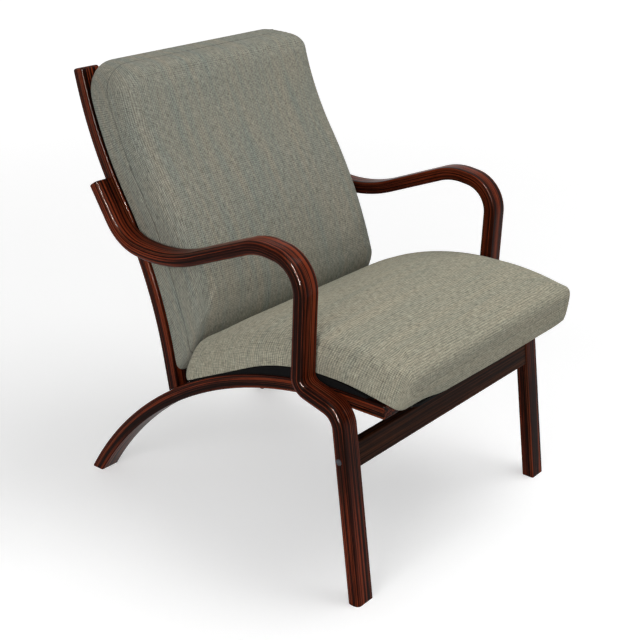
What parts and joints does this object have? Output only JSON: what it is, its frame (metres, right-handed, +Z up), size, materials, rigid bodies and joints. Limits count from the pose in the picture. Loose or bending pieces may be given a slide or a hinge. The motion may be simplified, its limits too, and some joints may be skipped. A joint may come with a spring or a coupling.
{
  "type": "bentwood lounge chair",
  "caption": "Lounge chair with bent laminated arm and leg strips, arched seat rails, S-bent back uprights and a woven cloth seat and back.",
  "frame": {"origin": "middle of the chair's box, on the floor", "axes": "+X the way the chair faces, +Y the sitter's left, +Z up"},
  "size_m": [0.7858, 0.615, 0.8323],
  "materials": {
    "lacquered_wood": "dark red-brown rosewood stain under gloss lacquer",
    "woven_cloth": "coarse grey-green woven cloth",
    "black_board": "black painted plywood",
    "foam": "polyurethane foam",
    "dust_cloth": "thin black non-woven cloth",
    "beech": "bare beech",
    "steel": "zinc plated",
    "cap": "dark satin"
  },
  "bodies": {
    "root": {"arm_leg_right": "lacquered_wood", "arm_leg_left": "lacquered_wood", "seat_rail_right": "lacquered_wood", "seat_rail_left": "lacquered_wood", "back_upright_right": "lacquered_wood", "back_upright_left": "lacquered_wood", "front_cross_rail": "lacquered_wood", "rear_cross_rail": "lacquered_wood", "seat_panel": "black_board", "seat_runner_right": "black_board", "seat_runner_left": "black_board", "seat_foam": "foam", "seat_cover": "woven_cloth", "seat_dust_cover": "dust_cloth", "back_panel": "black_board", "back_foam": "foam", "back_cover": "woven_cloth", "back_rear_cover": "woven_cloth", "front_rail_bolts": "steel", "front_rail_nuts": "steel", "front_rail_caps": "cap", "front_rail_pins": "beech", "rear_rail_dowels": "beech", "arm_rail_screws": "steel", "arm_upright_screws": "steel", "upright_dowels": "beech", "seat_bolts": "steel", "seat_tee_nuts": "steel", "back_screws": "steel"}
  },
  "joints": []
}
